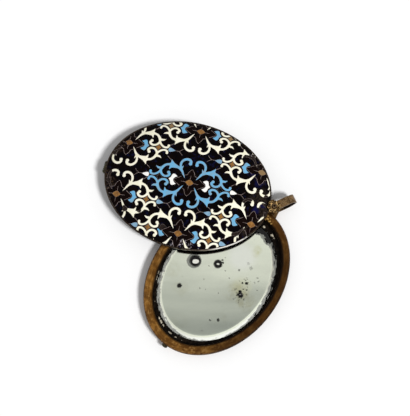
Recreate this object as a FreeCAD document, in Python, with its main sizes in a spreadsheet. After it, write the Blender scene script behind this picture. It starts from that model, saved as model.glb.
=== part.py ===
import FreeCAD, Part
import Sketcher
import math
import os
from types import SimpleNamespace

# Pocket mirror with two oval leaves on one swivel rivet.
# The lower leaf is a brass bezel with a bevelled mirror in front and an enamelled back.
# The upper leaf is a domed, enamelled cover that swings sideways off the mirror.
# A strap bail, bent to a U round both leaves' lugs, turns on the same rivet.
# Origin: centre of the lower leaf on its flat back. X runs to the rivet, Z points up.

doc = FreeCAD.newDocument("PocketMirror")
sheet = doc.addObject("Spreadsheet::Sheet", "Sizes")

# Driving dimensions in millimetres and degrees.
drivingSizes = (
    # lower leaf: bezel ring
    ("leafLength", "60"),
    ("leafWidth", "46"),
    ("frameWidth", "3.3"),
    ("frameHeight", "5"),
    ("frameOuterRound", "1.6"),
    ("frameInnerRound", "1.3"),
    ("frameFootRound", "0.9"),
    ("rebateWall", "1.6"),
    ("rebateDepth", "1"),
    # lower leaf: enamelled back plate
    ("backBorder", "0.6"),
    ("backEnamelDepth", "0.35"),
    # lower leaf: mirror and its bed
    ("backingThickness", "0.5"),
    ("silverThickness", "0.1"),
    ("glassThickness", "1.5"),
    ("glassEndGap", "2.1"),
    ("glassSideGap", "0.55"),
    ("bevelWidth", "2.2"),
    ("bevelDepth", "0.8"),
    ("cementHeight", "0.8"),
    # cover leaf
    ("coverMargin", "0.6"),
    ("coverGap", "0.25"),
    ("rimWall", "0.45"),
    ("rimHeight", "1"),
    ("liningThickness", "0.4"),
    ("shellThickness", "0.6"),
    ("enamelThickness", "0.3"),
    ("domeHeight", "5.6"),
    ("domeSpread", "1.25"),
    # swivel rivet and what is stacked on it
    ("pivotReach", "2"),
    ("rivetRadius", "0.8"),
    ("rivetHeadRadius", "1.4"),
    ("rivetHeadHeight", "0.4"),
    ("rivetTipHeight", "0.35"),
    ("floorGap", "0.1"),
    ("washerRadius", "1.9"),
    ("washerThickness", "0.2"),
    ("frictionThickness", "0.4"),
    # lugs of the two leaves
    ("frameLugRadius", "2.3"),
    ("frameLugThickness", "1.9"),
    ("frameLugRoot", "7"),
    ("frameBossRadius", "1.9"),
    ("coverLugRadius", "2.1"),
    ("coverLugThickness", "0.9"),
    ("coverLugRoot", "6"),
    # rosette on top of the rivet
    ("rosetteRadius", "2.65"),
    ("rosetteThickness", "0.5"),
    ("petalRadius", "0.68"),
    ("petalHeight", "1.2"),
    ("petalRound", "0.6"),
    ("rosetteHubRadius", "1.25"),
    ("rosetteHubHeight", "1.1"),
    # bail
    ("bailWidth", "3"),
    ("bailThickness", "0.6"),
    ("bailReach", "8.7"),
    # thumb tab of the cover and thumb nib of the bezel
    ("tabOffset", "1.2"),
    ("tabWidth", "4.6"),
    ("tabReach", "0.7"),
    ("tabThickness", "0.8"),
    ("tabCorner", "0.5"),
    ("tabGrooveWidth", "0.3"),
    ("tabGrooveDepth", "0.25"),
    ("nibWidth", "2"),
    ("nibReach", "0.9"),
    ("nibThickness", "1.2"),
    ("nibLevel", "2"),
    # clearances
    ("setClearance", "0.03"),
    ("rimClearance", "0.1"),
    ("runningClearance", "0.05"),
    ("stackGap", "0.05"),
    # pose of the cover and the bail, in degrees, both clockwise from above
    ("openAngle", "65.4"),
    ("bailAngle", "25"),
)
petalCount = 8
tabGrooveCount = 4

for row, (alias, number) in enumerate(drivingSizes, start=1):
    sheet.set(f"A{row}", number)
    sheet.setAlias(f"A{row}", alias)
doc.recompute()


# A length that carries both its number and the sheet expression behind it.
class Size:
    def __init__(self, number, words):
        self.number = number
        self.words = words

    def joined(self, sign, other, number):
        return Size(number, f"({self.words} {sign} {other.words})")

    def __add__(self, other):
        return self.joined("+", other, self.number + other.number)

    def __sub__(self, other):
        return self.joined("-", other, self.number - other.number)

    def __mul__(self, share):
        return Size(self.number * share, f"({self.words} * {share})")

    def __truediv__(self, count):
        return Size(self.number / count, f"({self.words} / {count})")

    def __neg__(self):
        return Size(-self.number, f"(-{self.words})")


size = SimpleNamespace()
for alias, number in drivingSizes:
    setattr(size, alias, Size(float(number), f"Sizes.{alias}"))
zero = Size(0.0, "0")

# Half lengths and half widths of the ovals, from the outside in.
leafHalf = (size.leafLength / 2, size.leafWidth / 2)


def inset(half, distance):
    return (half[0] - distance, half[1] - distance)


frameOpening = inset(leafHalf, size.frameWidth)
rebateHalf = inset(leafHalf, size.rebateWall)
backHalf = inset(rebateHalf, size.setClearance)
backEnamelHalf = inset(backHalf, size.backBorder)
bedHalf = inset(frameOpening, size.setClearance)
glassHalf = (frameOpening[0] - size.glassEndGap, frameOpening[1] - size.glassSideGap)
cementHole = inset(glassHalf, -size.setClearance)
coverHalf = inset(leafHalf, -size.coverMargin)
rimHole = inset(coverHalf, size.rimWall)
plaqueHalf = inset(rimHole, size.setClearance)

# Levels above the table, from the bottom up.
backTop = size.rebateDepth
silverBottom = backTop + size.backingThickness
glassBottom = silverBottom + size.silverThickness
headTop = size.floorGap + size.rivetHeadHeight
lowerArmBottom = headTop + size.stackGap
lowerArmTop = lowerArmBottom + size.bailThickness
lowerWasherBottom = lowerArmTop + size.stackGap
frameLugBottom = lowerWasherBottom + size.washerThickness
frameLugTop = frameLugBottom + size.frameLugThickness
coverBottom = size.frameHeight + size.coverGap
frictionBottom = coverBottom - size.stackGap - size.frictionThickness
shellBottom = coverBottom + size.liningThickness
rimTop = coverBottom + size.rimHeight
coverLugTop = coverBottom + size.coverLugThickness
upperWasherBottom = coverLugTop + size.stackGap
upperArmBottom = upperWasherBottom + size.washerThickness + size.stackGap
upperArmTop = upperArmBottom + size.bailThickness
rosetteBottom = upperArmTop + size.stackGap
rosetteTop = rosetteBottom + size.rosetteHubHeight

pivotX = size.leafLength / 2 + size.pivotReach
rivetHole = size.rivetRadius + size.setClearance
runningHole = size.rivetRadius + size.runningClearance

up = FreeCAD.Vector(0, 0, 1)
down = FreeCAD.Vector(0, 0, -1)


# Features shared by the pieces.
def bind(item, name, length):
    item.setExpression(name, length.words)


def newBody(label):
    body = doc.addObject("PartDesign::Body", label)
    body.Label = label
    return body


def newSketch(body, name, level, role="XY_Plane"):
    plane = [feature for feature in body.Origin.OriginFeatures if feature.Role == role][0]
    sketch = body.newObject("Sketcher::SketchObject", name)
    sketch.AttachmentSupport = [(plane, "")]
    sketch.MapMode = "FlatFace"
    bind(sketch, "AttachmentOffset.Base.z", level)
    return sketch


def hold(sketch, length, kind, *where):
    index = sketch.addConstraint(Sketcher.Constraint(kind, *where, length.number))
    sketch.setExpression(f"Constraints[{index}]", length.words)


def holdPoint(sketch, x, y, curve, end):
    hold(sketch, x, "DistanceX", -1, 1, curve, end)
    hold(sketch, y, "DistanceY", -1, 1, curve, end)


def drawOval(sketch, half):
    shape = Part.Ellipse(FreeCAD.Vector(), half[0].number, half[1].number)
    curve = sketch.addGeometry(shape, False)
    sketch.exposeInternalGeometry(curve)
    sketch.addConstraint(Sketcher.Constraint("Coincident", curve, 3, -1, 1))
    sketch.addConstraint(Sketcher.Constraint("Horizontal", curve + 1))
    hold(sketch, half[0] * 2, "Distance", curve + 1)
    hold(sketch, half[1] * 2, "Distance", curve + 2)


def drawCircle(sketch, radius, x=zero, y=zero):
    shape = Part.Circle(FreeCAD.Vector(x.number, y.number, 0), up, radius.number)
    curve = sketch.addGeometry(shape, False)
    holdPoint(sketch, x, y, curve, 3)
    hold(sketch, radius, "Radius", curve)


# A closed outline, counter-clockwise. A span in arcs is a half round on an upright chord;
# its turn is 1 where the round bulges out of the outline and -1 where it is hollow.
def drawOutline(sketch, corners, arcs=None):
    arcs = arcs or {}
    spans = []
    for index, (x, y) in enumerate(corners):
        nextX, nextY = corners[(index + 1) % len(corners)]
        start = FreeCAD.Vector(x.number, y.number, 0)
        finish = FreeCAD.Vector(nextX.number, nextY.number, 0)
        turn = arcs.get(index, 0)
        if turn:
            round = Part.Circle((start + finish) / 2, up, (finish - start).Length / 2)
            shape = Part.ArcOfCircle(round, -math.pi / 2, math.pi / 2)
        else:
            shape = Part.LineSegment(start, finish)
        curve = sketch.addGeometry(shape, False)
        spans.append((curve, 2, 1) if turn < 0 else (curve, 1, 2))
        if turn:
            hold(sketch, x, "DistanceX", -1, 1, curve, 3)
    for index, (curve, first, last) in enumerate(spans):
        following, followingFirst, followingLast = spans[(index + 1) % len(spans)]
        join = Sketcher.Constraint("Coincident", curve, last, following, followingFirst)
        sketch.addConstraint(join)
        holdPoint(sketch, *corners[index], curve, first)


def pad(body, sketch, length, symmetric=False):
    feature = body.newObject("PartDesign::Pad", sketch.Name + "Pad")
    feature.Profile = sketch
    bind(feature, "Length", length)
    if symmetric:
        feature.SideType = "Symmetric"
    doc.recompute()
    return feature


# Cuts downward from the sketch: a given depth, or right through.
def pocket(body, sketch, depth=None, upward=False):
    before = body.Shape.Volume
    feature = body.newObject("PartDesign::Pocket", sketch.Name + "Pocket")
    feature.Profile = sketch
    feature.Reversed = upward
    if depth:
        bind(feature, "Length", depth)
    else:
        feature.Type = "ThroughAll"
    doc.recompute()
    if body.Shape.Volume >= before:
        raise RuntimeError(f"{sketch.Name} cuts nothing from {body.Label}")
    return feature


def ovalEdge(feature, level, half):
    found = []
    for index, edge in enumerate(feature.Shape.Edges, start=1):
        box = edge.BoundBox
        atLevel = math.isclose(box.ZMin, level.number) and math.isclose(box.ZMax, level.number)
        if atLevel and math.isclose(box.XMax, half[0].number, rel_tol=1e-4):
            found.append(f"Edge{index}")
    return found


def fillet(body, level, half, radius):
    base = body.Tip
    feature = body.newObject("PartDesign::Fillet", f"{body.Name}Fillet")
    feature.Base = (base, ovalEdge(base, level, half))
    bind(feature, "Radius", radius)
    doc.recompute()


# Rounds every edge that lies flat at one level.
def roundTop(body, level, radius):
    base = body.Tip
    edges = []
    for index, edge in enumerate(base.Shape.Edges, start=1):
        box = edge.BoundBox
        if math.isclose(box.ZMin, level.number) and math.isclose(box.ZMax, level.number):
            edges.append(f"Edge{index}")
    feature = body.newObject("PartDesign::Fillet", f"{body.Name}Rounding")
    feature.Base = (base, edges)
    bind(feature, "Radius", radius)
    doc.recompute()


def ovalPlate(label, half, bottom, thickness, hole=None):
    body = newBody(label)
    sketch = newSketch(body, label + "Outline", bottom)
    drawOval(sketch, half)
    if hole:
        drawOval(sketch, hole)
    pad(body, sketch, thickness)
    return body


def washer(label, radius, hole, bottom, thickness):
    body = newBody(label)
    sketch = newSketch(body, label + "Outline", bottom)
    drawCircle(sketch, radius, pivotX)
    drawCircle(sketch, hole, pivotX)
    pad(body, sketch, thickness)
    return body


# A lug reaches from the leaf's edge to the rivet, with a round end about it.
def lug(label, edgeHalf, radius, root, bottom, thickness):
    body = newBody(label)
    sketch = newSketch(body, label + "Outline", bottom)
    rootX = edgeHalf[0] - radius
    corners = (
        (rootX, -root / 2),
        (pivotX, -radius),
        (pivotX, radius),
        (rootX, root / 2),
    )
    drawOutline(sketch, corners, {1: 1})
    pad(body, sketch, thickness)
    seat = newSketch(body, label + "Seat", bottom + thickness)
    drawOval(seat, inset(edgeHalf, -size.setClearance))
    pocket(body, seat)
    return body


# The cover's pieces turn clockwise about the rivet from closed to open.
def swing(item):
    angle = size.openAngle
    item.Placement = FreeCAD.Placement(FreeCAD.Vector(), FreeCAD.Rotation(down, angle.number))
    item.setExpression("Placement.Rotation.Angle", angle.words)
    item.setExpression("Placement.Base.x", f"{pivotX.words} * (1 - cos({angle.words}))")
    item.setExpression("Placement.Base.y", f"{pivotX.words} * sin({angle.words})")
    return item


# Lower leaf.
def mirrorFrame():
    body = ovalPlate("mirror_frame", leafHalf, zero, size.frameHeight, frameOpening)
    rebate = newSketch(body, "mirror_frame_rebate", zero)
    drawOval(rebate, rebateHalf)
    pocket(body, rebate, size.rebateDepth, upward=True)
    fillet(body, size.frameHeight, leafHalf, size.frameOuterRound)
    fillet(body, size.frameHeight, frameOpening, size.frameInnerRound)
    fillet(body, zero, leafHalf, size.frameFootRound)
    return body


def backPlate():
    body = ovalPlate("back_plate", backHalf, zero, size.rebateDepth)
    tray = newSketch(body, "back_plate_tray", zero)
    drawOval(tray, backEnamelHalf)
    pocket(body, tray, size.backEnamelDepth, upward=True)
    return body


def backEnamel():
    half = inset(backEnamelHalf, size.setClearance)
    return ovalPlate("back_enamel", half, zero, size.backEnamelDepth)


def mirrorBacking():
    return ovalPlate("mirror_backing", bedHalf, backTop, size.backingThickness)


def mirrorSilvering():
    return ovalPlate("mirror_silvering", glassHalf, silverBottom, size.silverThickness)


def mirrorGlass():
    body = ovalPlate("mirror_glass", glassHalf, glassBottom, size.glassThickness)
    base = body.Tip
    glassTop = glassBottom + size.glassThickness
    bevel = body.newObject("PartDesign::Chamfer", "mirror_glass_bevel")
    bevel.Base = (base, ovalEdge(base, glassTop, glassHalf))
    bevel.ChamferType = "Two distances"
    bind(bevel, "Size", size.bevelDepth)
    bind(bevel, "Size2", size.bevelWidth)
    doc.recompute()
    return body


def beddingCement():
    return ovalPlate("bedding_cement", bedHalf, silverBottom, size.cementHeight, cementHole)


def frameLug():
    body = lug("frame_lug", leafHalf, size.frameLugRadius, size.frameLugRoot,
               frameLugBottom, size.frameLugThickness)
    boss = newSketch(body, "frame_lug_boss", frameLugTop)
    drawCircle(boss, size.frameBossRadius, pivotX)
    pad(body, boss, frictionBottom - frameLugTop)
    bore = newSketch(body, "frame_lug_bore", frictionBottom)
    drawCircle(bore, rivetHole, pivotX)
    pocket(body, bore)
    return body


def tabOutline(sketch, edgeHalf, width, reach, corner):
    rootX = size.tabOffset - edgeHalf[0]
    tipX = -edgeHalf[0] - reach
    nearY = -size.tabOffset - width / 2
    farY = -size.tabOffset + width / 2
    corners = (
        (rootX, nearY),
        (rootX, farY),
        (tipX + corner, farY),
        (tipX, farY - corner),
        (tipX, nearY + corner),
        (tipX + corner, nearY),
    )
    drawOutline(sketch, corners)


def thumbPiece(label, edgeHalf, width, reach, bottom, thickness):
    body = newBody(label)
    sketch = newSketch(body, label + "Outline", bottom)
    tabOutline(sketch, edgeHalf, width, reach, size.tabCorner)
    pad(body, sketch, thickness)
    seat = newSketch(body, label + "Seat", bottom + thickness)
    drawOval(seat, inset(edgeHalf, -size.setClearance))
    pocket(body, seat)
    return body


def frameNib():
    return thumbPiece("frame_thumb_nib", leafHalf, size.nibWidth, size.nibReach,
                      size.nibLevel, size.nibThickness)


# Rivet stack.
def pivotRivet():
    body = newBody("pivot_rivet")
    head = newSketch(body, "pivot_rivet_head", size.floorGap)
    drawCircle(head, size.rivetHeadRadius, pivotX)
    pad(body, head, size.rivetHeadHeight)
    shank = newSketch(body, "pivot_rivet_shank", headTop)
    drawCircle(shank, size.rivetRadius, pivotX)
    pad(body, shank, rosetteTop + size.rivetTipHeight - headTop)
    roundTop(body, size.floorGap, size.rivetTipHeight)
    roundTop(body, rosetteTop + size.rivetTipHeight, size.rivetTipHeight)
    return body


def rosette():
    body = newBody("rosette")
    disc = newSketch(body, "rosette_disc", rosetteBottom)
    drawCircle(disc, size.rosetteRadius - size.petalRadius)
    pad(body, disc, size.rosetteThickness)
    hub = newSketch(body, "rosette_hub", rosetteBottom)
    drawCircle(hub, size.rosetteHubRadius)
    pad(body, hub, size.rosetteHubHeight)
    ring = size.rosetteRadius - size.petalRadius
    petals = newSketch(body, "rosette_petals", rosetteBottom)
    for index in range(petalCount):
        turn = 2 * math.pi * index / petalCount
        drawCircle(petals, size.petalRadius, ring * math.cos(turn), ring * math.sin(turn))
    pad(body, petals, size.petalHeight)
    roundTop(body, rosetteBottom + size.petalHeight, size.petalRound)
    bore = newSketch(body, "rosette_bore", rosetteTop)
    drawCircle(bore, rivetHole)
    pocket(body, bore)
    bind(body, "Placement.Base.x", pivotX)
    return body


def lowerWasher():
    return washer("lower_washer", size.washerRadius, rivetHole,
                  lowerWasherBottom, size.washerThickness)


def frictionWasher():
    return washer("friction_washer", size.frameBossRadius, rivetHole,
                  frictionBottom, size.frictionThickness)


def upperWasher():
    radius = size.pivotReach - size.coverMargin - size.rimClearance
    return washer("upper_washer", radius, rivetHole,
                  upperWasherBottom, size.washerThickness)


# Cover leaf.
def ellipsoid(name, shrink):
    shape = doc.addObject("Part::Ellipsoid", name)
    bind(shape, "Radius1", size.domeHeight - shrink)
    bind(shape, "Radius2", plaqueHalf[0] + size.domeSpread - shrink)
    bind(shape, "Radius3", plaqueHalf[1] + size.domeSpread - shrink)
    spreadShare = plaqueHalf[0].words + " / " + (plaqueHalf[0] + size.domeSpread).words
    rise = f"{size.domeHeight.words} * sqrt(1 - ({spreadShare}) ^ 2)"
    shape.setExpression("Placement.Base.z", f"{rimTop.words} - {rise}")
    return shape


def domeLayer(label, outer, inner, half):
    skin = doc.addObject("Part::Cut", label + "Skin")
    skin.Base = outer
    skin.Tool = inner
    curve = doc.addObject("Part::Ellipse", label + "Curve")
    bind(curve, "MajorRadius", half[0])
    bind(curve, "MinorRadius", half[1])
    bind(curve, "Placement.Base.z", shellBottom)
    trim = doc.addObject("Part::Extrusion", label + "Trim")
    trim.Base = curve
    trim.DirMode = "Custom"
    trim.Dir = up
    trim.Solid = True
    bind(trim, "LengthFwd", rimTop + size.domeHeight - shellBottom)
    layer = doc.addObject("Part::Common", label)
    layer.Base = skin
    layer.Tool = trim
    layer.Label = label
    doc.recompute()
    return layer


def coverDome():
    outside = ellipsoid("enamelOutside", zero)
    between = ellipsoid("enamelInside", size.enamelThickness)
    inside = ellipsoid("shellInside", size.enamelThickness + size.shellThickness)
    enamel = domeLayer("cover_enamel", outside, between, plaqueHalf)
    shell = domeLayer("cover_shell", between, inside, plaqueHalf)
    return [enamel, shell]


def coverRim():
    return ovalPlate("cover_rim", coverHalf, coverBottom, size.rimHeight, rimHole)


def coverLining():
    return ovalPlate("cover_lining", plaqueHalf, coverBottom, size.liningThickness)


def coverLug():
    body = lug("cover_lug", coverHalf, size.coverLugRadius, size.coverLugRoot,
               coverBottom, size.coverLugThickness)
    bore = newSketch(body, "cover_lug_bore", coverLugTop)
    drawCircle(bore, runningHole, pivotX)
    pocket(body, bore)
    return body


def coverTab():
    body = thumbPiece("cover_thumb_tab", coverHalf, size.tabWidth, size.tabReach,
                      coverBottom, size.tabThickness)
    grooves = newSketch(body, "cover_thumb_tab_grooves", coverBottom + size.tabThickness)
    tipX = -coverHalf[0] - size.tabReach
    for index in range(tabGrooveCount):
        share = (index + 1) / (tabGrooveCount + 1)
        middle = (size.tabWidth - size.tabCorner * 2) * share - size.tabWidth / 2
        middleY = middle + size.tabCorner - size.tabOffset
        halfGroove = size.tabGrooveWidth / 2
        corners = (
            (tipX - size.tabGrooveDepth, middleY - halfGroove),
            (tipX + size.tabGrooveDepth, middleY - halfGroove),
            (tipX + size.tabGrooveDepth, middleY + halfGroove),
            (tipX - size.tabGrooveDepth, middleY + halfGroove),
        )
        drawOutline(grooves, corners)
    pocket(body, grooves)
    return body


# Bail: a strap bent to a U, with an eye at each end.
def bail():
    body = newBody("bail")
    side = newSketch(body, "bail_side", zero, "XZ_Plane")
    bendX = size.bailReach - (upperArmTop - lowerArmBottom) / 2
    corners = (
        (zero, lowerArmBottom),
        (bendX, lowerArmBottom),
        (bendX, upperArmTop),
        (zero, upperArmTop),
        (zero, upperArmBottom),
        (bendX, upperArmBottom),
        (bendX, lowerArmTop),
        (zero, lowerArmTop),
    )
    drawOutline(side, corners, {1: 1, 5: -1})
    pad(body, side, size.bailWidth, symmetric=True)
    for name, level in (("bail_lower_eye", lowerArmBottom), ("bail_upper_eye", upperArmBottom)):
        eye = newSketch(body, name, level)
        drawCircle(eye, size.bailWidth / 2)
        pad(body, eye, size.bailThickness)
    bore = newSketch(body, "bail_bore", upperArmTop)
    drawCircle(bore, runningHole)
    pocket(body, bore)
    body.Placement = FreeCAD.Placement(FreeCAD.Vector(), FreeCAD.Rotation(down, size.bailAngle.number))
    bind(body, "Placement.Rotation.Angle", size.bailAngle)
    bind(body, "Placement.Base.x", pivotX)
    return body


lowerLeaf = [mirrorFrame(), backPlate(), backEnamel(), mirrorBacking(), mirrorSilvering(),
             mirrorGlass(), beddingCement(), frameLug(), frameNib()]
rivetStack = [pivotRivet(), rosette(), lowerWasher(), frictionWasher(), upperWasher()]
coverLeaf = coverDome() + [coverRim(), coverLining(), coverLug(), coverTab()]
for piece in coverLeaf:
    swing(piece)
pieces = lowerLeaf + rivetStack + coverLeaf + [bail()]
doc.recompute()

for item in doc.Objects:
    if "Invalid" in item.State or "Error" in item.State:
        raise RuntimeError(f"{item.Label} failed to build: {item.State}")
for piece in pieces:
    if piece.Shape.isNull() or not piece.Shape.isValid():
        raise RuntimeError(f"{piece.Label} has no valid shape")

os.makedirs("parts", exist_ok=True)
for piece in pieces:
    piece.Shape.exportStep(f"parts/{piece.Label}.step")
    box = piece.Shape.BoundBox
    print(f"{piece.Label}: {len(piece.Shape.Solids)} solid, {piece.Shape.Volume:.2f} mm3,"
          f" z {box.ZMin:.2f} to {box.ZMax:.2f}")
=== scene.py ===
import math
import random

import bmesh
import bpy
from mathutils import Matrix, Vector


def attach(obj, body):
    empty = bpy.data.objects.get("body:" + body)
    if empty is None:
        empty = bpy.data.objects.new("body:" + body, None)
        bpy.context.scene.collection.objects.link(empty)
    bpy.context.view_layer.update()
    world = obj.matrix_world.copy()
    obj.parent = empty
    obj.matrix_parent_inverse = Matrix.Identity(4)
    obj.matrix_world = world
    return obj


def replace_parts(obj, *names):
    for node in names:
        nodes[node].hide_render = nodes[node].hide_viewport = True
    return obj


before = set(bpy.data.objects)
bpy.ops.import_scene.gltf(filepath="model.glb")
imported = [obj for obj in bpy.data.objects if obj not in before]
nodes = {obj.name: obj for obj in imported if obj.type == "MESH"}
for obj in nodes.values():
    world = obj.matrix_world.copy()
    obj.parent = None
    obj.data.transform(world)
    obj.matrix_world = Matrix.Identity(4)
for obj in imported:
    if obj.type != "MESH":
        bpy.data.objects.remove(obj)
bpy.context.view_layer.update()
mm = 0.001
rivet = Vector((32, 0, 0))
coverTurn = math.radians(-65.4)
# the photograph's right and up on the table
photoRight = Vector((0.637, -0.77, 0))
photoUp = Vector((0.77, 0.637, 0))
print("frame loaded,", len(nodes), "solids")


def direction(turn, height=0):
    # unit vector at a turn from +X and a height over the table, in degrees
    turn, height = math.radians(turn), math.radians(height)
    return Vector((math.cos(turn) * math.cos(height), math.sin(turn) * math.cos(height), math.sin(height)))


def placed(place, turn, shape):
    return Matrix.Translation(place) @ Matrix.Rotation(turn, 4, "Z") @ Matrix.Diagonal((*shape, 1))


def addObject(name, data):
    made = bpy.data.objects.new(name, data)
    bpy.context.scene.collection.objects.link(made)
    return made


class Wire:
    # one output of a node: sums and products of wires add their Math nodes
    def __init__(self, tree, socket=None):
        self.tree = tree
        self.socket = socket

    def node(self, kind, sockets=None, settings=None, out=0):
        made = self.tree.nodes.new("ShaderNode" + kind)
        for key, value in (settings or {}).items():
            setattr(made, key, value)
        for key, value in (sockets or {}).items():
            if isinstance(value, Wire):
                self.tree.links.new(value.socket, made.inputs[key])
            elif isinstance(value, tuple) and made.inputs[key].type == "RGBA":
                made.inputs[key].default_value = (*value, 1)
            else:
                made.inputs[key].default_value = value
        return Wire(self.tree, made.outputs[out] if len(made.outputs) else None)

    def maths(self, operation, first, second):
        return self.node("Math", {0: first, 1: second}, {"operation": operation})

    def __add__(self, other):
        return self.maths("ADD", self, other)

    def __sub__(self, other):
        return self.maths("SUBTRACT", self, other)

    def __rsub__(self, other):
        return self.maths("SUBTRACT", other, self)

    def __mul__(self, other):
        return self.maths("MULTIPLY", self, other)

    __radd__ = __add__
    __rmul__ = __mul__

    def larger(self, other):
        return self.maths("MAXIMUM", self, other)

    def between(self, start, end, most=1):
        # 0 up to start, most from end on; falls instead of rising where end is below start
        sockets = {"Value": self, "From Min": start, "From Max": end, "To Max": most}
        return self.node("MapRange", sockets, {"interpolation_type": "SMOOTHSTEP"})


def startFinish(name):
    finish = bpy.data.materials.new(name)
    finish.use_nodes = True
    finish.node_tree.nodes.clear()
    return finish, Wire(finish.node_tree).node("TexCoord", out=3)


def endFinish(finish, sockets, look=None, height=None):
    root = Wire(finish.node_tree)
    if look:
        bump = {"Strength": look["relief"], "Distance": look["depth"] * mm, "Height": height}
        sockets["Normal"] = root.node("Bump", bump)
    surface = root.node("BsdfPrincipled", sockets)
    root.node("OutputMaterial", {"Surface": surface})
    return finish


def noise(vector, scale, detail, rough=0.5, out=0):
    sockets = {"Vector": vector, "Scale": scale, "Detail": detail, "Roughness": rough}
    return vector.node("TexNoise", sockets, out=out)


def clouds(place, size, detail=3, rough=0.55):
    # soft noise whose lumps are about size millimetres
    return noise(place, 1 / (size * mm), detail, rough)


def dots(place, apart, core, rim, most=1):
    # round marks about apart millimetres from each other: most inside core, 0 outside rim
    sockets = {"Vector": place, "Scale": 1 / (apart * mm)}
    return place.node("TexVoronoi", sockets).between(rim, core, most)


def tint(share, first, second, blend="MIX"):
    sockets = {0: share, 6: first, 7: second}
    return share.node("Mix", sockets, {"data_type": "RGBA", "blend_type": blend}, out=2)


def coated(look, first, coats):
    # coats over a first colour, each by its share: colours, or the look's names for them
    colour = look.get(first, first)
    for share, coat in coats:
        colour = tint(share, colour, look.get(coat, coat))
    return colour


def vectorMaths(operation, first, second=(0, 0, 0), out=0):
    return first.node("VectorMath", {0: first, 1: second}, {"operation": operation}, out=out)


def axisOf(place, axis):
    return place.node("SeparateXYZ", {0: place}, out=axis)


def joined(axes):
    return next(iter(axes.values())).node("CombineXYZ", axes)


def part(place, axis):
    # one coordinate of a place, in millimetres
    return axisOf(place, axis) * (1 / mm)


def alongSide(place, side):
    # how far a place lies along a direction, in millimetres
    return vectorMaths("DOT_PRODUCT", place, Vector(side) / mm, out=1)


def awayFrom(place, spot):
    # distance from a spot, both in millimetres
    return vectorMaths("DISTANCE", place, Vector(spot) * mm, out=1) * (1 / mm)


def ovalPlace(place, half):
    # a place in shares of an oval's half axes, and its reach: 1 on the oval
    square = vectorMaths("MULTIPLY", place, (1 / (half[0] * mm), 1 / (half[1] * mm), 0))
    return square, vectorMaths("LENGTH", square, out=1)


def hypotenuse(first, second):
    return first.maths("POWER", first * first + second * second, 0.5)


def nearTo(place, spots, core=0.4):
    # soft discs: x, y, z and radius in millimetres, full inside core of the radius
    near = 0
    for *spot, size in spots:
        near = near + awayFrom(place, spot).between(size, size * core)
    return near


# wear of the cover's enamel: spots as x, y, z and radius, then how ragged each kind of bare spot is
wornEnds = {
    "chipped": [
        (39.3, 17, 7.7, 2.6), (38.5, 15, 7.7, 2.4), (39.7, 18.8, 7.7, 1.8), (27.3, 9.4, 8.7, 2.2),
        (27.7, 2.1, 7, 2.6), (29.4, 2.5, 6.9, 2.4), (32.9, 4.3, 6.9, 1.4), (28.4, 8.4, 8.5, 1.6),
    ],
    "lost": [
        (12.8, 57.2, 6.7, 2.6), (15.2, 57, 6.8, 2.2), (11.3, 57.2, 6.7, 1.5), (3.4, 54.4, 6.5, 2.8),
        (0.9, 53.4, 6.4, 3.9), (1.3, 50.9, 7, 3.2), (-2.2, 51, 6.4, 4), (-4.6, 47.9, 6.4, 3.8),
        (-6.9, 43.7, 6.4, 3.2),
    ],
    "gone": [
        (-2.5, 40.7, 7.6, 1.5), (-1.7, 40.6, 7.8, 0.9), (0.1, 36, 8.5, 1.1),
        (0.8, 26, 8.5, 1.9), (41.4, 17.6, 7, 1.7), (40.4, 15.7, 7.2, 1.9),
        (14.9, 4.6, 7.5, 1.3), (16.1, 4.2, 7.5, 1.5), (17.8, 3.9, 7.6, 1.5),
    ],
    "scuffed": [
        (41.7, 17.9, 6.9, 1.2), (0, 17.3, 6.9, 2.2), (1.4, 16.3, 7, 2), (1.9, 14.4, 6.6, 1.7),
        (-1.2, 19.2, 6.6, 1.5),
    ],
    "grimy": [
        (30.3, 7, 7.2, 3.4), (32.9, 6.3, 6.9, 2.8), (30.5, 3.4, 6.8, 2.6), (28, 1.9, 6.7, 2.6),
        (23.7, 0.4, 6.6, 2.8), (36.4, 9.6, 6.9, 2.4), (38.6, 13.7, 7.2, 2.4), (19, 1.9, 6.6, 3),
    ],
    "navy": [
        (35.2, 9.9, 7, 2.6), (26.7, 4.5, 7, 2.2), (29.8, 3.7, 6.8, 1.8), (36.8, 13.5, 7.5, 2),
        (23, 7.5, 6.8, 1.8),
    ],
    "ragged": {"chipped": (1.6, 0.42, 0.52), "lost": (1.2, 0.3, 0.4), "gone": (0.6, 0.3, 0.4)},
    "colour": (0.014, 0.008, 0.006),
}
# what enamels share unless they say otherwise: sizes in millimetres, noise levels, shares
enamelMarks = {
    "clouded": (0.35, 0.7), "grain": 0.22, "pit": (0.55, 0.06, 0.13), "pits": 0.7, "gloss": 0.14,
    "fleckSize": 1.3, "flecked": (0.58, 0.72), "fine": 0.6, "grimeAndShadeGrit": (0.36, 0.6), "navyGrit": (0.3, 0.6),
    "crazedGrit": (0.5, 0.62, 0.8), "scuffGrit": (0.56, 0.64), "patch": 1.7, "grainRough": 0.14,
    "pitRough": 0.3, "relief": 0.25, "depth": 0.03,
}


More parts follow.
